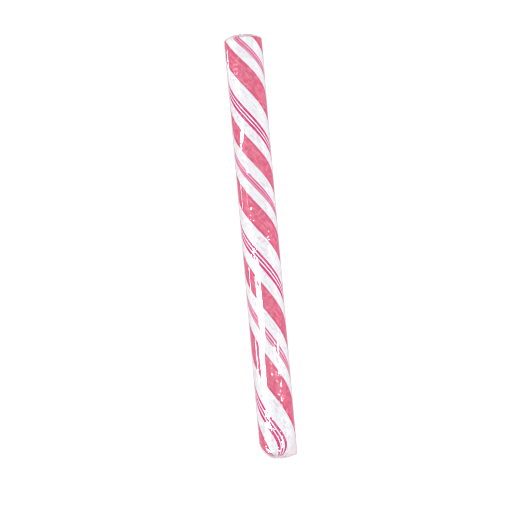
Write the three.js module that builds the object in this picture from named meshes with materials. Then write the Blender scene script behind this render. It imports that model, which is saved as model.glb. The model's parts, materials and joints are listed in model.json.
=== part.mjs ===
// A hard candy stick in its clear film wrap, lying on its side. Millimetres, +Z up.
// The stick runs along Y, with its cut end at +Y and its rounded end at -Y.
// The origin is on the surface it lies on, under the middle of the stick.
import * as THREE from 'three';

// The candy: one rod of boiled sugar.
const candyLength = 127;
const candyRadius = 5.4;
const cutEndRise = 2.1; // how far the cut end swells out past its rim
const roundEndRise = 5.3; // the rounded end is drawn in almost to half a ball
const candyFacets = 48;
const sideRows = 10;
const endRows = 8;

// The film: one sheet, rolled round the candy a little more than once, with both ends folded in.
const filmThickness = 0.1;
const filmClearance = 0.12; // between the candy and the sheet's inner face
const innerEdgeAngle = -22; // where the sheet starts, in degrees from the top of the stick towards +X
const spiralRise = 0.16; // each full turn of the sheet lies this much further out
const squareCornerRise = 0.8; // at +X the sheet stands off the rounded end in a square corner
const pleatCount = 10;
const pleatHeight = 0.35;
const gatherRadius = 1.3; // the pleats leave a small opening in the middle of each end
const filmColumns = 54; // so the sheet's free edge ends up on top, 52 degrees past its first edge
const columnsToUnderside = 26.5;
const columnAngle = (180 - innerEdgeAngle) / columnsToUnderside;
const flatColumns = 5; // the underside rests on this many columns, pressed flat

// Half of the lengthwise section, as rows of { radius, along, outward }, from the middle of
// the rounded end to the middle of the cut end. Both ends are quarters of an ellipse, which
// stop at the opening's radius, and outward is the direction square to the surface.
function sectionRows({ radius, halfLength, roundRise, cutRise, opening }) {
  const turn = Math.acos(opening / radius);
  const rows = [];
  const addEnd = (centre, rise, from, to) => {
    const curve = new THREE.EllipseCurve(0, centre, radius, rise, from, to);
    for (let row = 0; row <= endRows; row++) {
      const share = row / endRows;
      const point = curve.getPoint(share);
      const angle = from + (to - from) * share;
      const outward = new THREE.Vector2(rise * Math.cos(angle), radius * Math.sin(angle)).normalize();
      rows.push({ radius: point.x, along: point.y, outward });
    }
  };
  const sideStart = roundRise - halfLength;
  const sideEnd = halfLength - cutRise;
  addEnd(sideStart, roundRise, -turn, 0);
  for (let row = 1; row < sideRows; row++) {
    const along = THREE.MathUtils.lerp(sideStart, sideEnd, row / sideRows);
    rows.push({ radius, along, outward: new THREE.Vector2(1, 0) });
  }
  addEnd(sideEnd, cutRise, 0, turn);
  return rows;
}

// How far the sheet lies outside its first edge after turning by this many degrees.
const spiralAt = (turned) => (spiralRise * turned) / 360;

// The film's flat underside and the candy's, as heights below the stick's axis.
const flatTurned = (columnsToUnderside - flatColumns / 2) * columnAngle; // to the flat's nearer edge
const flatReach = candyRadius + filmClearance + filmThickness + spiralAt(flatTurned);
const restHeight = flatReach * Math.cos(THREE.MathUtils.degToRad((flatColumns / 2) * columnAngle));
const candyRestHeight = restHeight - filmThickness - filmClearance;

function candyStick() {
  const rows = sectionRows({
    radius: candyRadius,
    halfLength: candyLength / 2,
    roundRise: roundEndRise,
    cutRise: cutEndRise,
    opening: 0,
  });
  const profile = rows.map(({ radius, along }) => new THREE.Vector2(Math.max(radius, 0), along));
  const geometry = new THREE.LatheGeometry(profile, candyFacets);
  const position = geometry.getAttribute('position');
  for (let i = 0; i < position.count; i++) {
    position.setZ(i, Math.max(position.getZ(i), -candyRestHeight));
  }
  geometry.computeVertexNormals();
  const sugar = new THREE.MeshStandardMaterial({ color: 0xeeb7c6, roughness: 0.22, metalness: 0 });
  const mesh = new THREE.Mesh(geometry, sugar);
  mesh.name = 'candy_stick';
  return mesh;
}

// The film's section at one angle round the stick, where the rounded end's corner is squarer
// towards +X.
function filmRows(angle) {
  const squareness = 0.5 + 0.5 * Math.sin(angle);
  return sectionRows({
    radius: candyRadius + filmClearance,
    halfLength: candyLength / 2 + filmClearance,
    roundRise: THREE.MathUtils.lerp(roundEndRise, squareCornerRise, squareness),
    cutRise: cutEndRise,
    opening: gatherRadius,
  });
}

// How far the pleats stand up at this angle and distance from the middle of an end.
function pleatAt(angle, radius) {
  const folded = THREE.MathUtils.smoothstep(candyRadius - radius, 0, candyRadius - gatherRadius);
  return pleatHeight * folded * (0.5 - 0.5 * Math.cos(pleatCount * angle));
}

// A thin flat sheet whose width is rolled round the stick and whose ends are folded in.
function filmWrap() {
  const rowCount = 2 * endRows + sideRows;
  const geometry = new THREE.BoxGeometry(1, 1, 1, filmColumns, rowCount, 1);
  const position = geometry.getAttribute('position');
  for (let i = 0; i < position.count; i++) {
    const turned = (position.getX(i) + 0.5) * filmColumns * columnAngle;
    const row = Math.round((position.getY(i) + 0.5) * rowCount);
    const through = (position.getZ(i) + 0.5) * filmThickness;
    const angle = THREE.MathUtils.degToRad(innerEdgeAngle + turned);
    const { radius, along, outward } = filmRows(angle)[row];
    const offset = spiralAt(turned) + through + pleatAt(angle, radius);
    const reach = radius + offset * outward.x;
    const x = reach * Math.sin(angle);
    const y = along + offset * outward.y;
    const z = Math.max(reach * Math.cos(angle), filmThickness - through - restHeight);
    position.setXYZ(i, x, y, z);
  }
  geometry.computeVertexNormals();
  const film = new THREE.MeshStandardMaterial({
    color: 0xf6f8fa,
    roughness: 0.08,
    metalness: 0,
    transparent: true,
    opacity: 0.2,
  });
  const mesh = new THREE.Mesh(geometry, film);
  mesh.name = 'film_wrap';
  return mesh;
}

const stick = new THREE.Group();
stick.add(candyStick(), filmWrap());

// Puts the middle of the underside at the origin.
const box = new THREE.Box3().setFromObject(stick);
const middle = box.getCenter(new THREE.Vector3());
stick.position.set(-middle.x, -middle.y, -box.min.z);

export default stick;
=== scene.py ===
# A striped hard candy stick in its clear film wrap, lying on a white table and seen from above.
# Lengths are in metres. Angles round the stick run from its top towards +X, and its cut end is at +Y.
import json
import math

import bpy
from mathutils import Matrix, Vector

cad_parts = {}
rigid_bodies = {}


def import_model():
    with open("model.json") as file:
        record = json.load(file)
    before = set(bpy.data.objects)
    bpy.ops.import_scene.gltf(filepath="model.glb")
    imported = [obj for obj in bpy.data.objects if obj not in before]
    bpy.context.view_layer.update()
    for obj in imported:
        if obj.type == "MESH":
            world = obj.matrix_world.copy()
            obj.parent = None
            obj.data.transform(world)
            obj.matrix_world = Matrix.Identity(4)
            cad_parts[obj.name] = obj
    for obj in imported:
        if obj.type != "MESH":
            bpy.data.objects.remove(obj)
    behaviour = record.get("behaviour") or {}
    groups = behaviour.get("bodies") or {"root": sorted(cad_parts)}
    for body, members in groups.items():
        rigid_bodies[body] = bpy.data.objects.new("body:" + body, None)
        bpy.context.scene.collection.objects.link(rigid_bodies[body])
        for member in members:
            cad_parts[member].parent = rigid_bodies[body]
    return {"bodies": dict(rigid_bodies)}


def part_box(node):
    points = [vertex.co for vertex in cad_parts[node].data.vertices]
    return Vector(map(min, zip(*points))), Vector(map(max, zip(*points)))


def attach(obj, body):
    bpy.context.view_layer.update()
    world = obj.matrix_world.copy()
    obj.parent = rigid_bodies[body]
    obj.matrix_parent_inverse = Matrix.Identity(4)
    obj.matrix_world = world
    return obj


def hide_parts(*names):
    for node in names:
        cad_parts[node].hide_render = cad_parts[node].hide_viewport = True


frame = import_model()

mm = 0.001
degree = math.pi / 180
fullTurn = 2 * math.pi
scene = bpy.context.scene
body = next(iter(frame["bodies"]))
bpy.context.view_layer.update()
candyLow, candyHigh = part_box("candy_stick")
candyRadius = (candyHigh.x - candyLow.x) / 2
candyLength = candyHigh.y - candyLow.y
axisHeight = candyHigh.z - candyRadius
print("frame: candy", round(candyLength / mm, 1), "mm long,", round(2 * candyRadius / mm, 1), "mm thick")


def feed(tree, socket, value):
    if isinstance(value, Wire):
        tree.links.new(value.socket, socket)
    else:
        socket.default_value = value


class Wire:
    # A value in a node tree that adds, multiplies and so on like a plain number.
    def __init__(self, tree, socket):
        self.tree = tree
        self.socket = socket

    def math(self, operation, *others):
        node = self.tree.nodes.new("ShaderNodeMath")
        node.operation = operation
        for socket, value in zip(node.inputs, (self, *others)):
            feed(self.tree, socket, value)
        return Wire(self.tree, node.outputs[0])

    def __add__(self, other):
        return self.math("ADD", other)

    def __sub__(self, other):
        return self.math("SUBTRACT", other)

    def __mul__(self, other):
        return self.math("MULTIPLY", other)

    def __truediv__(self, other):
        return self.math("DIVIDE", other)

    def __neg__(self):
        return self.math("MULTIPLY", -1.0)

    def __rsub__(self, other):
        return (-self).math("ADD", other)

    __radd__ = __add__
    __rmul__ = __mul__

    def sin(self):
        return self.math("SINE")

    def cos(self):
        return self.math("COSINE")

    def power(self, exponent):
        return self.math("POWER", exponent)

    def atLeast(self, other):
        return self.math("MAXIMUM", other)

    def atMost(self, other):
        return self.math("MINIMUM", other)

    def between(self, low, high):
        return self.atLeast(low).atMost(high)

    def asShare(self):
        # From -1..1 to 0..1.
        return self * 0.5 + 0.5

    def rise(self, start, end, kind="SMOOTHSTEP"):
        # From 0 to 1 while this value goes from start to end.
        node = self.tree.nodes.new("ShaderNodeMapRange")
        node.interpolation_type = kind
        feed(self.tree, node.inputs["Value"], self)
        feed(self.tree, node.inputs["From Min"], start)
        feed(self.tree, node.inputs["From Max"], end)
        return Wire(self.tree, node.outputs["Result"])

    def window(self, start, end, fade):
        # 1 between start and end, fading to 0 outside them.
        return self.rise(start - fade, start) * (1 - self.rise(end, end + fade))


def blendValues(first, second, share):
    return first + (second - first) * share


def joinXyz(tree, x, y, z):
    node = tree.nodes.new("ShaderNodeCombineXYZ")
    for socket, value in zip(node.inputs, (x, y, z)):
        feed(tree, socket, value)
    return Wire(tree, node.outputs[0])


def splitXyz(vector):
    node = vector.tree.nodes.new("ShaderNodeSeparateXYZ")
    feed(vector.tree, node.inputs[0], vector)
    return [Wire(vector.tree, socket) for socket in node.outputs]


def noiseAt(vector, scale, detail=2.0, roughness=0.5):
    # Uneven values from about -1 to 1.
    tree = vector.tree
    node = tree.nodes.new("ShaderNodeTexNoise")
    feed(tree, node.inputs["Vector"], vector)
    node.inputs["Scale"].default_value = scale
    node.inputs["Detail"].default_value = detail
    node.inputs["Roughness"].default_value = roughness
    return Wire(tree, node.outputs[0]) * 2.0 - 1.0


def startTree(name, inputs):
    tree = bpy.data.node_groups.new(name, "GeometryNodeTree")
    kinds = {float: "NodeSocketFloat", int: "NodeSocketInt", bpy.types.Material: "NodeSocketMaterial"}
    for label, kind in inputs.items():
        tree.interface.new_socket(label, in_out="INPUT", socket_type=kinds[kind])
    tree.interface.new_socket("Geometry", in_out="OUTPUT", socket_type="NodeSocketGeometry")
    given = tree.nodes.new("NodeGroupInput")
    return tree, {label: Wire(tree, given.outputs[label]) for label in inputs}


def endTree(tree, geometry):
    output = tree.nodes.new("NodeGroupOutput")
    tree.links.new(geometry.socket, output.inputs["Geometry"])


def geometryStep(tree, kind, **values):
    # Each value is named after its socket, with _ for a space.
    node = tree.nodes.new(kind)
    for name, value in values.items():
        feed(tree, node.inputs[name.replace("_", " ")], value)
    return Wire(tree, node.outputs["Geometry"])


def storeValue(geometry, name, value, kind, domain):
    tree = geometry.tree
    node = tree.nodes.new("GeometryNodeStoreNamedAttribute")
    node.data_type = kind
    node.domain = domain
    feed(tree, node.inputs["Geometry"], geometry)
    node.inputs["Name"].default_value = name
    feed(tree, node.inputs["Value"], value)
    return Wire(tree, node.outputs["Geometry"])


def growPiece(name, tree, sizes):
    # Runs the tree once and keeps what it makes as a plain mesh.
    piece = bpy.data.objects.new(name, bpy.data.meshes.new(name))
    scene.collection.objects.link(piece)
    modifier = piece.modifiers.new("grow", "NODES")
    modifier.node_group = tree
    for item in tree.interface.items_tree:
        if item.in_out == "INPUT" and item.name in sizes:
            modifier[item.identifier] = sizes[item.name]
    depsgraph = bpy.context.evaluated_depsgraph_get()
    grown = bpy.data.meshes.new_from_object(piece.evaluated_get(depsgraph), depsgraph=depsgraph)
    piece.modifiers.clear()
    piece.data = grown
    grown.name = name
    print(name + ":", len(grown.vertices), "vertices,", len(grown.polygons), "faces")
    return piece


def startMaterial(name):
    material = bpy.data.materials.new(name)
    material.use_nodes = True
    tree = material.node_tree
    return material, tree, tree.nodes["Principled BSDF"]


def readAttribute(tree, name):
    node = tree.nodes.new("ShaderNodeAttribute")
    node.attribute_name = name
    return Wire(tree, node.outputs["Fac"])


def readPlace(tree):
    return Wire(tree, tree.nodes.new("ShaderNodeTexCoord").outputs["Object"])


def mixColours(tree, share, first, second):
    node = tree.nodes.new("ShaderNodeMix")
    node.data_type = "RGBA"
    used = [socket for socket in node.inputs if socket.enabled]
    for socket, value in zip(used, (share, first, second)):
        feed(tree, socket, value)
    return Wire(tree, next(socket for socket in node.outputs if socket.enabled))


def addBump(tree, height, distance, shader):
    node = tree.nodes.new("ShaderNodeBump")
    node.inputs["Strength"].default_value = 1.0
    node.inputs["Distance"].default_value = distance
    feed(tree, node.inputs["Height"], height)
    tree.links.new(node.outputs["Normal"], shader.inputs["Normal"])


# How a screen's steps stand for light: a straight foot, then a curve.
screen = {"steps": 255, "footEnd": 0.04045, "footSlope": 12.92, "lift": 0.055, "power": 2.4}


def lightOf(value):
    share = value / screen["steps"]
    if share <= screen["footEnd"]:
        return share / screen["footSlope"]
    return ((share + screen["lift"]) / (1 + screen["lift"])) ** screen["power"]


def colour(red, green, blue):
    # A colour as seen, in steps from 0 to 255, turned into light.
    return lightOf(red), lightOf(green), lightOf(blue), 1.0


# The camera and the light.

view = {
    "lean": 4.95 * degree,  # the stick's cut end leans to the left in the frame
    "frameWidth": 153.8 * mm,
    "centreAcross": -1.75 * mm,  # of the frame, from the stick's middle
    "centreAlong": -2.78 * mm,
    "lens": 150.0,
    "sensor": 36.0,
}


def placeCamera():
    lean = view["lean"]
    right = Vector((math.cos(lean), -math.sin(lean), 0))
    up = Vector((math.sin(lean), math.cos(lean), 0))
    distance = view["frameWidth"] * view["lens"] / view["sensor"]
    camera = bpy.data.cameras.new("camera")
    camera.lens = view["lens"]
    camera.sensor_width = view["sensor"]
    holder = bpy.data.objects.new("camera", camera)
    scene.collection.objects.link(holder)
    place = right * view["centreAcross"] + up * view["centreAlong"]
    holder.location = place + Vector((0, 0, axisHeight + distance))
    holder.rotation_euler = (0, 0, -lean)
    scene.camera = holder


placeCamera()
print("camera placed")

light = {
    "zenith": 0.6,  # the room's strength straight overhead, and at the table's height
    "horizon": 1.0,
    "horizonFade": 0.1,  # how softly the part below the table's height begins
    "above": (0.99, 0.99, 1.0, 1.0),
    "below": (0.86, 0.66, 0.74, 1.0),  # what the film mirrors from below the table's height
    "overhead": {"height": 0.5, "size": 0.7, "radiance": 1.15},
    "boxDistance": 0.4,
    # Lamps round the rounded end: direction, size in mm, radiance.
    "endLamps": [((-0.74, -0.66, -0.12), 140, 60.0), ((0.44, -0.47, 0.76), 30, 60.0)],
    # Bright boxes that only glossy surfaces show: their middle as an angle from the top, from and to in mm
    # along Y, width in mm, how far they are turned in degrees, and their radiance.
    "boxes": [
        (-62, 79, 70.5, 190, 0, 7.0),
        (-60, 60, 52.7, 214, 2.2, 60.0),
        (-44, 39.6, 37, 64, 0, 60.0),
        (-47, 12, -6, 44, 0, 60.0),
        (-38, -9, -42, 225, -1.5, 60.0),
        (-53, -42, -84, 225, 0, 60.0),
        (-104, 34, 20, 40, 0, 14.0),
        (-61, 32, 19, 16, 0, 12.0),
        (-95, -9, -24, 42, 0, 32.0),
        (-92, -44, -63, 34, 0, 60.0),
        (48, 1.5, -3, 60, 0, 60.0),
        (52, -46.6, -51, 60, 8, 60.0),
        (30, -48, -53.5, 60, 0, 60.0),
        (28, -93, -98, 50, 0, 60.0),
        (0, -55.5, -58, 46, 0, 40.0),
        (42, -61, -65, 30, 5, 60.0),
        (47, -68, -74, 34, 5, 60.0),
        (-122, 96, 80, 44, 0, 40.0),
        (6, 520, 200, 60, 0, 40.0),
        (-6, -220, -540, 60, 0, 40.0),
    ],
    "clearBounces": 24,
    "glossBounces": 8,
    "filterWidth": 1.0,
}


def addRoom():
    world = bpy.data.worlds.new("room")
    world.use_nodes = True
    tree = world.node_tree
    background = tree.nodes["Background"]
    direction = Wire(tree, tree.nodes.new("ShaderNodeTexCoord").outputs["Generated"])
    height = splitXyz(direction)[2]
    overTable = height.rise(-light["horizonFade"], 0.0)
    feed(tree, background.inputs["Color"], mixColours(tree, overTable, light["below"], light["above"]))
    strength = blendValues(light["horizon"], light["zenith"], height.between(0.0, 1.0))
    feed(tree, background.inputs["Strength"], strength)
    scene.world = world


def addPanel(name, centre, along, faces, size, radiance):
    # A flat rectangular light whose longer side runs along one direction.
    lamp = bpy.data.lights.new(name, "AREA")
    lamp.shape = "RECTANGLE"
    lamp.size, lamp.size_y = size
    lamp.energy = radiance * size[0] * size[1] * math.pi
    holder = bpy.data.objects.new(name, lamp)
    scene.collection.objects.link(holder)
    back = -faces.normalized()
    sideways = (along - along.project(back)).normalized()
    upwards = back.cross(sideways)
    turn = Matrix((sideways, upwards, back)).transposed()
    holder.matrix_world = Matrix.Translation(centre) @ turn.to_4x4()
    return holder


def addBox(name, angle, start, end, width, slant, radiance):
    reach = Vector((math.sin(angle * degree), 0, math.cos(angle * degree)))
    centre = reach * light["boxDistance"] + Vector((0, (start + end) / 2 * mm, axisHeight))
    along = Matrix.Rotation(slant * degree, 3, reach) @ Vector((0, 1, 0))
    panel = addPanel(name, centre, along, -reach, ((start - end) * mm, width * mm), radiance)
    panel.visible_diffuse = False
    panel.visible_transmission = False
    panel.visible_volume_scatter = False


def addOverhead():
    # Soft light on the candy and the table, which the film doesn't mirror.
    overhead = light["overhead"]
    place = Vector((0, 0, overhead["height"]))
    size = (overhead["size"], overhead["size"])
    panel = addPanel("overhead", place, Vector((0, 1, 0)), Vector((0, 0, -1)), size, overhead["radiance"])
    panel.visible_glossy = False


def addEndLamp(direction, size, radiance):
    reach = Vector(direction).normalized()
    centre = reach * light["boxDistance"] + Vector((0, candyLow.y, axisHeight))
    panel = addPanel("endLamp", centre, Vector((0, 1, 0)), -reach, (size * mm, size * mm), radiance)
    panel.visible_diffuse = False


addRoom()
addOverhead()
for index, box in enumerate(light["boxes"]):
    addBox("box" + str(index + 1), *box)
for lamp in light["endLamps"]:
    addEndLamp(*lamp)
scene.view_settings.view_transform = "Standard"
scene.cycles.transparent_max_bounces = light["clearBounces"]
scene.cycles.glossy_bounces = light["glossBounces"]
scene.cycles.filter_width = light["filterWidth"]
print("light set")


# The table.

table = {
    "size": 30.0,
    "shade": (0.1, 0.1, 0.1, 1.0),
    "roughness": 0.9,
    "specular": 0.0,
    "glowShade": (1.0, 1.0, 1.0, 1.0),
    "glow": 0.95,
}


def layTable():
    half = table["size"] / 2
    mesh = bpy.data.meshes.new("table")
    corners = [(-half, -half, 0), (half, -half, 0), (half, half, 0), (-half, half, 0)]
    mesh.from_pydata(corners, [], [(0, 1, 2, 3)])
    piece = bpy.data.objects.new("table", mesh)
    scene.collection.objects.link(piece)
    material, _, shader = startMaterial("whiteTable")
    shader.inputs["Base Color"].default_value = table["shade"]
    shader.inputs["Roughness"].default_value = table["roughness"]
    shader.inputs["Specular IOR Level"].default_value = table["specular"]
    shader.inputs["Emission Color"].default_value = table["glowShade"]
    shader.inputs["Emission Strength"].default_value = table["glow"]
    mesh.materials.append(material)
    piece.visible_glossy = False


layTable()
print("table laid")


# The candy: strands of coloured sugar laid side by side round the stick, then twisted.

sugar = {
    # Each strand's colour and where it ends, in degrees round the stick before the twist.
    "start": -7.5,
    "strands": [
        ("line", -2.8), ("blush", 2.6), ("softLine", 8.0), ("blush", 11.4), ("softLine", 15.4),
        ("white", 53.8), ("ribbon", 125.0), ("white", 182.0),
        ("line", 190.6), ("white", 196.0), ("line", 202.8), ("white", 207.6), ("line", 217.2),
        ("white", 255.0), ("ribbon", 312.0), ("white", 352.5),
    ],
    "columnAngle": 3.0,
    "fewestColumns": 4,
    "rowLength": 0.55 * mm,
    "cutRise": 1.5 * mm,
    "cutRows": 12,
    "roundRise": 5.3 * mm,
    "roundRows": 18,
    "twistStart": -21.8 * degree,
    "twistRate": 8.75 * degree / mm,
    "twistSlowing": 1.0 * degree / mm,  # the twist slows down towards the rounded end
    "slowingPower": 3.0,
    "twistSway": -3.5 * degree,
    "swayLength": 64 * mm,
    "swayFrom": 38 * mm,
    "cutBend": 9.0 * degree,  # the strands lag by this much at the cut end
    "bendLength": 12 * mm,
    "bendPower": 1.3,
    "hookBend": 40 * degree,  # at the rounded end they hook back by this much, most on the +X side
    "hookLength": 8.3 * mm,
    "hookPower": 2.2,
    "hookTurn": 15 * degree,
    "crispAndHighlightFrom": 87 * mm,  # along this stretch the soft lines are painted crisp and deep and the blush between them white, partly the sugar's own pattern and partly painted highlight
    "crispAndHighlightTo": 95.5 * mm,
    "crispAndHighlightFade": 1 * mm,
    "wander": 1.6 * degree,
    "wanderLength": 14 * mm,
    "borderStep": 3.7,  # how far apart two borders read the unevenness that moves them
    "seed": 7.0,
    "relief": 0.035 * mm,  # the strands' borders lie this much deeper than their middles
    "crownPower": 6.0,
    "unevenLength": 5 * mm,
    "unevenRate": 2.0,
    "unevenShare": 0.6,
    "swell": 0.16 * mm,
    "swellLength": 24 * mm,
    "extraRadius": 0.05 * mm,
    "extraLength": 0.4 * mm,
    "unrollStart": 0.1,
    "joinDistance": 0.002 * mm,
    # Each kind of sugar: the colours of its middle, shoulders and rims, how wide the last two are as shares
    # of a strand, how mottled it is, and what it turns into along the crisp stretch, where the white is
    # partly painted highlight.
    "paints": {
        "white": {
            "middle": colour(245, 249, 251), "shoulder": colour(248, 251, 253), "rim": colour(252, 253, 254),
            "shoulderWidth": 0.2, "rimWidth": 0.04, "mottling": 2.0, "crispAndHighlight": None,
        },
        "blush": {
            "middle": colour(245, 198, 219), "shoulder": colour(245, 198, 219), "rim": colour(243, 184, 209),
            "shoulderWidth": 0.2, "rimWidth": 0.3, "mottling": 2.4, "crispAndHighlight": "white",
        },
        "softLine": {
            "middle": colour(222, 52, 124), "shoulder": colour(222, 52, 124), "rim": colour(226, 84, 142),
            "shoulderWidth": 0.2, "rimWidth": 0.2, "mottling": 3.6, "crispAndHighlight": "line",
        },
        "line": {
            "middle": colour(226, 0, 124), "shoulder": colour(226, 0, 124), "rim": colour(228, 30, 132),
            "shoulderWidth": 0.2, "rimWidth": 0.2, "mottling": 3.6, "crispAndHighlight": None,
        },
        "ribbon": {
            "middle": colour(233, 102, 137), "shoulder": colour(241, 91, 138), "rim": colour(194, 18, 92),
            "shoulderWidth": 0.28, "rimWidth": 0.135, "mottling": 4.2, "crispAndHighlight": None,
        },
    },
    "grainStretch": 0.2,
    "grainScale": 1500.0,
    "cloudScale": 1100.0,
    "cloudDetail": 2.0,
    "cloudRoughness": 0.6,
    "edgeWander": 0.02,
    "rimCore": 0.5,
    "deepTint": (0.92, 0.74, 0.83, 1.0),
    "paleShare": 0.1,
    "roughness": 0.5,
    "specular": 0.05,
    "bump": 0.01 * mm,
}


def twistAt(down):
    # How far the strands have turned at this distance from the cut end.
    share = down / candyLength
    slowing = share.power(sugar["slowingPower"]) * (sugar["twistSlowing"] * candyLength)
    sway = ((down - sugar["swayFrom"]) * (fullTurn / sugar["swayLength"])).cos() * sugar["twistSway"]
    bend = (1 - down / sugar["bendLength"]).atLeast(0.0).power(sugar["bendPower"]) * sugar["cutBend"]
    return sugar["twistStart"] + down * sugar["twistRate"] - slowing + sway - bend


def hookAt(angle, down):
    # How far the strands are drawn back at the rounded end.
    share = ((down - (candyLength - sugar["hookLength"])) / sugar["hookLength"]).between(0.0, 1.0)
    return share.power(sugar["hookPower"]) * (angle + sugar["hookTurn"]).sin().asShare() * sugar["hookBend"]


def wayDown(row, cutRows, sideRows, roundRows, turn):
    # Rows lead over the cut end, down the straight side and over the rounded end: a turn, a share, a turn.
    cutTurn = (1 - row / cutRows).between(0.0, 1.0) * turn
    sideShare = ((row - cutRows) / sideRows).between(0.0, 1.0)
    roundTurn = ((row - (cutRows + sideRows)) / roundRows).between(0.0, 1.0) * turn
    return cutTurn, sideShare, roundTurn


def swellAt(down):
    # The stick is a little thicker towards its cut end.
    return (1 - down.rise(0.0, sugar["swellLength"])) * sugar["swell"]


def strandTree():
    # One strand of sugar, from the middle of the cut end to the middle of the rounded end.
    tree, given = startTree("sugarStrand", {
        "Radius": float, "Length": float, "Cut rise": float, "Round rise": float, "Underside": float,
        "Relief": float, "Wander": float, "Columns": int, "Paint": bpy.types.Material,
        "First border": float, "First number": float, "Second border": float, "Second number": float,
    })
    length = given["Length"]
    cutRise = given["Cut rise"]
    roundRise = given["Round rise"]
    sideRows = round((candyLength - sugar["cutRise"] - sugar["roundRise"]) / sugar["rowLength"])
    rows = sugar["cutRows"] + sideRows + sugar["roundRows"]
    grid = tree.nodes.new("GeometryNodeMeshGrid")
    for name, value in {"Size X": 1.0, "Size Y": 1.0, "Vertices Y": rows + 1}.items():
        grid.inputs[name].default_value = value
    feed(tree, grid.inputs["Vertices X"], given["Columns"] + 1)
    position = Wire(tree, tree.nodes.new("GeometryNodeInputPosition").outputs[0])
    width, height, _ = splitXyz(position)
    across = width + 0.5
    row = (height + 0.5) * rows
    cutTurn, sideShare, roundTurn = wayDown(row, sugar["cutRows"], sideRows, sugar["roundRows"], math.pi / 2)
    sideDown = cutRise + (length - cutRise - roundRise) * sideShare
    down = sideDown - cutTurn.sin() * cutRise + roundTurn.sin() * roundRise
    phases = []
    for side in ("First", "Second"):
        number = given[side + " number"] * sugar["borderStep"] + sugar["seed"]
        spot = joinXyz(tree, down / sugar["wanderLength"], number, 0.0)
        phases.append(noiseAt(spot, 1.0) * given["Wander"] + given[side + " border"])
    phase = blendValues(phases[0], phases[1], across)
    angle = twistAt(down) - phase
    angle = angle - hookAt(angle, down)
    crown = 1 - (across * 2.0 - 1.0).math("ABSOLUTE").power(sugar["crownPower"])
    spot = joinXyz(tree, down / sugar["unevenLength"], phase * sugar["unevenRate"], 0.0)
    uneven = noiseAt(spot, 1.0) * sugar["unevenShare"]
    reach = given["Radius"] + swellAt(down) - given["Relief"] * (1.0 - crown + uneven)
    reach = reach * cutTurn.cos() * roundTurn.cos()
    x = reach * angle.sin()
    z = (reach * angle.cos()).atLeast(given["Underside"]) + axisHeight
    # The values are stored while the strand is still a flat strip.
    unrolled = joinXyz(tree, phase / fullTurn + sugar["unrollStart"], down / length, 0.0)
    strand = storeValue(Wire(tree, grid.outputs["Mesh"]), "UVMap", unrolled, "FLOAT2", "CORNER")
    strand = storeValue(strand, "across", across, "FLOAT", "POINT")
    spot = joinXyz(tree, x, candyHigh.y - down, z)
    strand = geometryStep(tree, "GeometryNodeSetPosition", Geometry=strand, Position=spot)
    endTree(tree, geometryStep(tree, "GeometryNodeSetMaterial", Geometry=strand, Material=given["Paint"]))
    return tree


def candyTree(paints):
    strand = strandTree()
    shared = {
        "Radius": float, "Length": float, "Cut rise": float, "Round rise": float, "Underside": float,
        "Relief": float, "Wander": float,
    }
    tree, given = startTree("twistedCandy", shared)
    join = tree.nodes.new("GeometryNodeJoinGeometry")
    borders = [sugar["start"]] + [end for _, end in sugar["strands"]]
    count = len(sugar["strands"])
    for index, (paint, _) in enumerate(sugar["strands"]):
        node = tree.nodes.new("GeometryNodeGroup")
        node.node_tree = strand
        for name in shared:
            feed(tree, node.inputs[name], given[name])
        width = borders[index + 1] - borders[index]
        columns = max(sugar["fewestColumns"], round(width / sugar["columnAngle"]))
        node.inputs["Columns"].default_value = columns
        node.inputs["Paint"].default_value = paints[paint]
        node.inputs["First border"].default_value = borders[index] * degree
        node.inputs["First number"].default_value = index
        node.inputs["Second border"].default_value = borders[index + 1] * degree
        node.inputs["Second number"].default_value = (index + 1) % count
        tree.links.new(node.outputs["Geometry"], join.inputs["Geometry"])
    whole = Wire(tree, join.outputs["Geometry"])
    whole = geometryStep(tree, "GeometryNodeMergeByDistance", Geometry=whole, Distance=sugar["joinDistance"])
    whole = geometryStep(tree, "GeometryNodeSetShadeSmooth", Geometry=whole, Shade_Smooth=True)
    endTree(tree, geometryStep(tree, "GeometryNodeRealizeInstances", Geometry=whole))
    return tree


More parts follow.
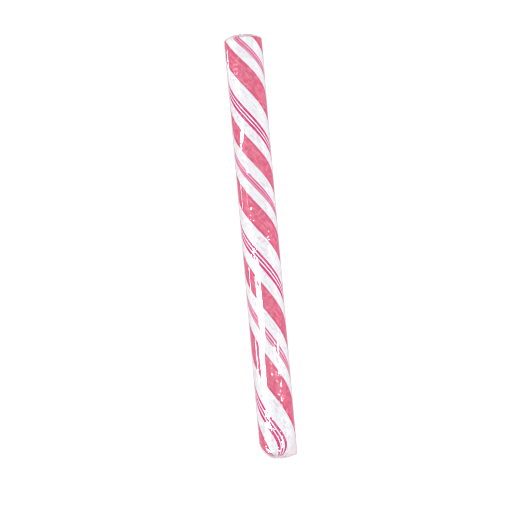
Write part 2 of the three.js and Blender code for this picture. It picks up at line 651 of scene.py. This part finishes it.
def sugarMaterial(paint):
    settings = sugar["paints"][paint]
    material, tree, shader = startMaterial(paint + "Sugar")
    across = readAttribute(tree, "across")
    place = readPlace(tree)
    phase, down, _ = splitXyz(Wire(tree, tree.nodes.new("ShaderNodeUVMap").outputs["UV"]))
    # Pulled sugar has fine streaks along each strand, and cloudy spots.
    grain = joinXyz(tree, phase * (fullTurn * candyRadius), down * (candyLength * sugar["grainStretch"]), 0.0)
    cloudiness = (sugar["cloudDetail"], sugar["cloudRoughness"])
    mottle = noiseAt(grain, sugar["grainScale"], *cloudiness)
    mottle = mottle + noiseAt(place, sugar["cloudScale"], *cloudiness)
    edge = across.atMost(1 - across) + mottle * sugar["edgeWander"]
    nearShoulder = 1 - edge.rise(0.0, settings["shoulderWidth"])
    shade = mixColours(tree, nearShoulder, settings["middle"], settings["shoulder"])
    rimShare = 1 - edge.rise(settings["rimWidth"] * sugar["rimCore"], settings["rimWidth"])
    shade = mixColours(tree, rimShare, shade, settings["rim"])
    # Along the crisp stretch the blush is painted white, partly as painted highlight, and the soft lines turn
    # deep.
    if settings["crispAndHighlight"]:
        crispAndHighlight = (down * candyLength).window(sugar["crispAndHighlightFrom"], sugar["crispAndHighlightTo"], sugar["crispAndHighlightFade"])
        shade = mixColours(tree, crispAndHighlight, shade, sugar["paints"][settings["crispAndHighlight"]]["middle"])
    deep = tuple(value * share for value, share in zip(settings["middle"], sugar["deepTint"]))
    pale = tuple(value + (1 - value) * sugar["paleShare"] for value in settings["middle"])
    shade = mixColours(tree, mottle.between(0.0, 1.0) * settings["mottling"], shade, deep)
    shade = mixColours(tree, mottle.between(-1.0, 0.0) * -settings["mottling"], shade, pale)
    feed(tree, shader.inputs["Base Color"], shade)
    shader.inputs["Roughness"].default_value = sugar["roughness"]
    shader.inputs["Specular IOR Level"].default_value = sugar["specular"]
    addBump(tree, mottle, sugar["bump"], shader)
    return material


paints = {paint: sugarMaterial(paint) for paint in sugar["paints"]}
print("sugar coloured:", ", ".join(paints))
candy = growPiece("candyStick", candyTree(paints), {
    "Radius": candyRadius + sugar["extraRadius"],
    "Length": candyLength + sugar["extraLength"],
    "Cut rise": sugar["cutRise"],
    "Round rise": sugar["roundRise"],
    "Underside": candyLow.z - axisHeight,
    "Relief": sugar["relief"],
    "Wander": sugar["wander"],
})
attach(candy, body)
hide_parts("candy_stick")


# The film: one thin sheet rolled round the candy, with its ends folded in.

film = {
    "thickness": 0.03 * mm,
    "clearance": 0.13 * mm,  # from the candy to the sheet's inner face
    "spiralRise": 0.09 * mm,  # each full turn lies this much further out
    "sharpTurn": 60 * degree,  # the sheet's own borders are shaded sharp
    "firstEdge": -22 * degree,
    # Columns of faces and the degrees that they turn: finer where the sheet shows most.
    "columns": [(13, 52.0), (47, 70.0), (35, 141.6), (16, 37.0), (92, 111.0)],
    "cutRise": 1.5 * mm,
    "roundRise": 5.3 * mm,
    "squareRise": 0.8 * mm,
    "endRows": 12,
    "rowLength": 0.62 * mm,
    "opening": 1.3 * mm,
    "foldedFrom": 0.6,  # from this share of the way in, the sheet counts as fully folded
    "pleats": 10,
    "pleatSlant": 900,  # how fast the pleats turn round the stick, in radians for each metre along it
    "pleatHeight": 0.3 * mm,
    # Where the sheet is pressed flat: its middle angle, then at each end its half width in degrees and the
    # mm from the cut end.
    "flats": [(-18.0, 5.0, 69, 5.0, 74)],
    "flatReach": 0.5,  # nothing is pressed where the cosine from the flat's middle is below this
    # Calm patches, where the sheet lies smooth: middle and half width in degrees, from and to in mm from the
    # cut end.
    "calm": [(-32, 36, 26, 36), (-26, 18, 5, 15)],
    # Small cross ribs: middle and half width in degrees, from and to in mm from the cut end.
    "ribs": (-28, 20, 7, 14),
    "ribLength": 1.3 * mm,
    "ribHeight": 0.0025 * mm,
    # Crinkled patches: middle and half width in degrees, from and to in mm from the cut end, strength.
    "crinkles": [
        (-24, 13, 51.5, 57, 0.6), (-24, 16, 59, 66, 1.0), (24, 6, 60, 61.5, 0.8), (-18, 14, 70, 74, 1.0),
        (5, 12, 98, 105, 0.6), (22, 10, 101, 114, 0.6), (-20, 24, 109, 120, 1.6), (-30, 46, 119, 127, 2.0),
    ],
    "patchCore": 0.6,  # a patch is at its full strength over this share of its half width
    "patchFade": 2.5 * mm,
    "waves": 0.01 * mm,
    "ripples": 0.004 * mm,
    "crinkleHeight": 0.05 * mm,
    # The unevenness behind them: how far it is drawn out along the stick, its scale and its detail.
    "waveNoise": (0.3, 250.0, 1.0),
    "rippleNoise": (0.06, 1100.0, 1.0),
    "crinkleNoise": (1.0, 900.0, 2.0),
    # The free edge lifts over its last stretch, unevenly along the stick.
    "edgeLift": 0.1 * mm,
    "liftTurn": 9 * degree,
    "liftScale": 160.0,
    "liftMiddle": 0.7,
    "liftUneven": 0.5,
    "fade": 0.8 * mm,
    "slack": 0.07 * mm,  # how far the sheet may be pressed towards the candy
    "cutGap": 0.12 * mm,
    "roundGap": 0.5 * mm,
    "clearTint": (0.99, 0.99, 0.99, 1.0),
    "roughness": 0.03,
    "smoothBump": 0.0005 * mm,
    "smoothScale": 1100.0,
    "dentDepth": 0.22 * mm,
    "dentShare": 0.18,  # the noise must pass this value before it makes a dent
    "dentPower": 2.0,
    "dentScale": 1400.0,
    "dentStretch": 0.5,
    "shine": 0.05,  # seen squarely, the film mirrors this share of the light
    "facingBlend": 0.5,
    "glanceFade": 5.2,
    "hazeAndPaintedPink": 0.004,
    "foldHazeAndPaintedPink": 0.25,  # where it is folded, the film looks milky; the veil's pink tint is a painted reflection of the candy
    "foldMilkAndPaintedPink": (0.86, 0.76, 0.81, 1.0),
    "cornerLength": 8 * mm,  # the square corner stands off the candy along this stretch and looks milky, with the same painted pink reflection
    "cornerFrom": 0.3,  # how far round towards +X that begins, as a sine
    "cornerHazeAndPaintedPink": 0.7,
}


def filmTree():
    tree, given = startTree("rolledFilm", {
        "Radius": float, "Cut end": float, "Round end": float, "Axis height": float, "Thickness": float,
        "Spiral rise": float, "Pleat height": float, "Waves": float, "Film": bpy.types.Material,
    })
    cutEnd = given["Cut end"]
    roundEnd = given["Round end"]
    thickness = given["Thickness"]
    columns = sum(count for count, _ in film["columns"])
    sideRows = round((candyLength - film["cutRise"] - film["roundRise"]) / film["rowLength"])
    rows = 2 * film["endRows"] + sideRows
    cube = tree.nodes.new("GeometryNodeMeshCube")
    for name, value in {"Vertices X": columns + 1, "Vertices Y": rows + 1, "Vertices Z": 2}.items():
        cube.inputs[name].default_value = value
    cube.inputs["Size"].default_value = (1, 1, 1)
    sheet = Wire(tree, cube.outputs["Mesh"])
    position = Wire(tree, tree.nodes.new("GeometryNodeInputPosition").outputs[0])
    width, height, thick = splitXyz(position)
    column = (width + 0.5) * columns
    row = (0.5 - height) * rows
    outer = thick + 0.5
    turned = 0.0
    first = 0
    for count, turn in film["columns"]:
        turned = ((column - first) / count).between(0.0, 1.0) * (turn * degree) + turned
        first += count
    angle = turned + film["firstEdge"]

    # The lengthwise section: two quarters of an ellipse with a straight side between them.
    foldTurn = math.acos(film["opening"] / (candyRadius + film["clearance"]))
    cutTurn, sideShare, roundTurn = wayDown(row, film["endRows"], sideRows, film["endRows"], foldTurn)
    radius = given["Radius"] + swellAt(sideShare * candyLength)
    cutRise = film["cutRise"]
    roundRise = blendValues(film["roundRise"], film["squareRise"], angle.sin().asShare())
    side = blendValues(cutEnd - cutRise, roundEnd + roundRise, sideShare)
    along = side + cutTurn.sin() * cutRise - roundTurn.sin() * roundRise
    ring = cutTurn.cos() * roundTurn.cos() * radius
    cutOut = unitPair(cutTurn.cos() * cutRise, cutTurn.sin() * radius)
    roundOut = unitPair(roundTurn.cos() * roundRise, roundTurn.sin() * radius)
    outwards = cutOut[0] * roundOut[0]
    endwards = cutOut[1] - roundOut[1]
    down = candyHigh.y - along

    # What the sheet does besides: flats, waves, crinkles, pleats and its lifted free edge.
    onSide = cutTurn.cos() * roundTurn.cos()
    pressed = 0.0
    for middle, firstHalf, start, lastHalf, end in film["flats"]:
        turn = (angle - middle * degree).cos().atLeast(film["flatReach"])
        share = ((down - start * mm) / ((end - start) * mm)).between(0.0, 1.0)
        half = blendValues(math.cos(firstHalf * degree), math.cos(lastHalf * degree), share)
        sunk = radius * (1 - turn.power(-1.0) * half)
        pressed = (sunk.atLeast(0.0) * down.window(start * mm, end * mm, film["fade"])).atLeast(pressed)
    crinkled = 0.0
    for middle, half, start, end, strength in film["crinkles"]:
        crinkled = patchOf(angle, down, middle, half, start, end) * strength + crinkled
    ribbed = patchOf(angle, down, *film["ribs"])
    calm = 0.0
    for middle, half, start, end in film["calm"]:
        calm = patchOf(angle, down, middle, half, start, end) + calm
    waves = sheetNoise(angle, radius, along, film["waveNoise"]) * given["Waves"]
    waves = sheetNoise(angle, radius, along, film["rippleNoise"]) * film["ripples"] + waves
    waves = sheetNoise(angle, radius, along, film["crinkleNoise"]) * crinkled * film["crinkleHeight"] + waves
    folded = (1 - ring / radius).rise(0.0, film["foldedFrom"])
    corner = down.rise(candyLength - film["cornerLength"], candyLength)
    corner = corner * angle.sin().rise(film["cornerFrom"], 1.0) * film["cornerHazeAndPaintedPink"]
    pleats = (-(angle * film["pleats"] + along * film["pleatSlant"]).cos()).asShare()
    pleats = pleats * folded * given["Pleat height"]
    lastTurn = sum(turn for _, turn in film["columns"]) * degree
    ruffle = noiseAt(joinXyz(tree, along, 0.0, 0.0), film["liftScale"])
    ruffle = ruffle * film["liftUneven"] + film["liftMiddle"]
    lift = turned.rise(lastTurn - film["liftTurn"], lastTurn) * ruffle * film["edgeLift"] * onSide
    spiral = turned * (given["Spiral rise"] / fullTurn)
    relief = waves * (1 - calm) - pressed * onSide + lift
    offset = spiral + outer * thickness + pleats + relief.atLeast(-spiral - film["slack"])

    reach = ring + offset * outwards
    low = (1 - outer) * thickness - given["Axis height"]
    x = reach * angle.sin()
    y = along + offset * endwards
    z = (reach * angle.cos()).atLeast(low) + given["Axis height"]
    # The values are stored while the sheet is still flat.
    sheet = storeValue(sheet, "milkyWithPaintedPink", folded.atLeast(corner), "FLOAT", "POINT")
    sheet = storeValue(sheet, "crinkled", crinkled, "FLOAT", "POINT")
    sheet = storeValue(sheet, "ribbed", ribbed, "FLOAT", "POINT")
    unrolled = joinXyz(tree, turned / lastTurn, down / candyLength, 0.0)
    sheet = storeValue(sheet, "UVMap", unrolled, "FLOAT2", "CORNER")
    sheet = geometryStep(tree, "GeometryNodeSetPosition", Geometry=sheet, Position=joinXyz(tree, x, y, z))
    sheet = geometryStep(tree, "GeometryNodeSetShadeSmooth", Geometry=sheet, Shade_Smooth=True)
    sheet = sharpenEdges(sheet, film["sharpTurn"])
    sheet = geometryStep(tree, "GeometryNodeRealizeInstances", Geometry=sheet)
    endTree(tree, geometryStep(tree, "GeometryNodeSetMaterial", Geometry=sheet, Material=given["Film"]))
    return tree


def sheetNoise(angle, radius, along, settings):
    # Unevenness that follows the rolled sheet.
    stretch, scale, detail = settings
    spot = joinXyz(angle.tree, angle.sin() * radius, along * stretch, angle.cos() * radius)
    return noiseAt(spot, scale, detail)


def sharpenEdges(sheet, turn):
    # Edges that turn by more than this keep a sharp line.
    tree = sheet.tree
    bend = Wire(tree, tree.nodes.new("GeometryNodeInputMeshEdgeAngle").outputs["Unsigned Angle"])
    sharp = tree.nodes.new("GeometryNodeSetShadeSmooth")
    sharp.domain = "EDGE"
    feed(tree, sharp.inputs["Geometry"], sheet)
    feed(tree, sharp.inputs["Selection"], bend.math("GREATER_THAN", turn))
    sharp.inputs["Shade Smooth"].default_value = False
    return Wire(tree, sharp.outputs["Geometry"])


def patchOf(angle, down, middle, half, start, end):
    # 1 inside a patch of the sheet, fading to 0 at its borders.
    gap = (angle - middle * degree).math("WRAP", math.pi, -math.pi).math("ABSOLUTE")
    inside = 1 - gap.rise(half * film["patchCore"] * degree, half * degree)
    return inside * down.window(start * mm, end * mm, film["patchFade"])


def unitPair(first, second):
    length = (first * first + second * second).math("SQRT")
    return first / length, second / length


def filmMaterial():
    material, tree, shader = startMaterial("clearFilm")
    tree.nodes.remove(shader)
    clear = tree.nodes.new("ShaderNodeBsdfTransparent")
    clear.inputs["Color"].default_value = film["clearTint"]
    gloss = tree.nodes.new("ShaderNodeBsdfGlossy")
    gloss.inputs["Roughness"].default_value = film["roughness"]
    # A milky veil painted pink: the milkiness is the film's own, the pink is a painted reflection of the
    # candy.
    milkyWithPaintedPink = tree.nodes.new("ShaderNodeBsdfDiffuse")
    milkyWithPaintedPink.inputs["Color"].default_value = film["foldMilkAndPaintedPink"]
    place = readPlace(tree)
    acrossPlace, alongPlace, upPlace = splitXyz(place)
    stretched = joinXyz(tree, acrossPlace, alongPlace * film["dentStretch"], upPlace)
    dents = (noiseAt(stretched, film["dentScale"], detail=0.0) - film["dentShare"]).atLeast(0.0)
    dents = dents.power(film["dentPower"]) * readAttribute(tree, "crinkled") * film["dentDepth"]
    ribs = (alongPlace * (fullTurn / film["ribLength"])).sin()
    ribs = ribs * readAttribute(tree, "ribbed") * film["ribHeight"]
    height = noiseAt(place, film["smoothScale"], detail=1.0) * film["smoothBump"] + dents + ribs
    addBump(tree, height / mm, mm, gloss)
    layer = tree.nodes.new("ShaderNodeLayerWeight")
    layer.inputs["Blend"].default_value = film["facingBlend"]
    glance = Wire(tree, layer.outputs["Facing"])
    outside = 1 - Wire(tree, tree.nodes.new("ShaderNodeNewGeometry").outputs["Backfacing"])
    shine = (film["shine"] + glance.power(film["glanceFade"]) * (1 - film["shine"])) * outside
    hazeAndPaintedPink = film["hazeAndPaintedPink"] + readAttribute(tree, "milkyWithPaintedPink") * film["foldHazeAndPaintedPink"]
    shiny = mixShaders(tree, shine, clear, gloss)
    tree.links.new(mixShaders(tree, hazeAndPaintedPink, shiny, milkyWithPaintedPink).outputs[0], tree.nodes["Material Output"].inputs[0])
    return material


def mixShaders(tree, share, first, second):
    node = tree.nodes.new("ShaderNodeMixShader")
    feed(tree, node.inputs[0], share)
    tree.links.new(first.outputs[0], node.inputs[1])
    tree.links.new(second.outputs[0], node.inputs[2])
    return node


wrap = growPiece("filmWrap", filmTree(), {
    "Radius": candyRadius + film["clearance"],
    "Cut end": candyHigh.y + film["cutGap"],
    "Round end": candyLow.y - film["roundGap"],
    "Axis height": axisHeight,
    "Thickness": film["thickness"],
    "Spiral rise": film["spiralRise"],
    "Pleat height": film["pleatHeight"],
    "Waves": film["waves"],
    "Film": filmMaterial(),
})
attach(wrap, body)
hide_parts("film_wrap")


print("scene built")
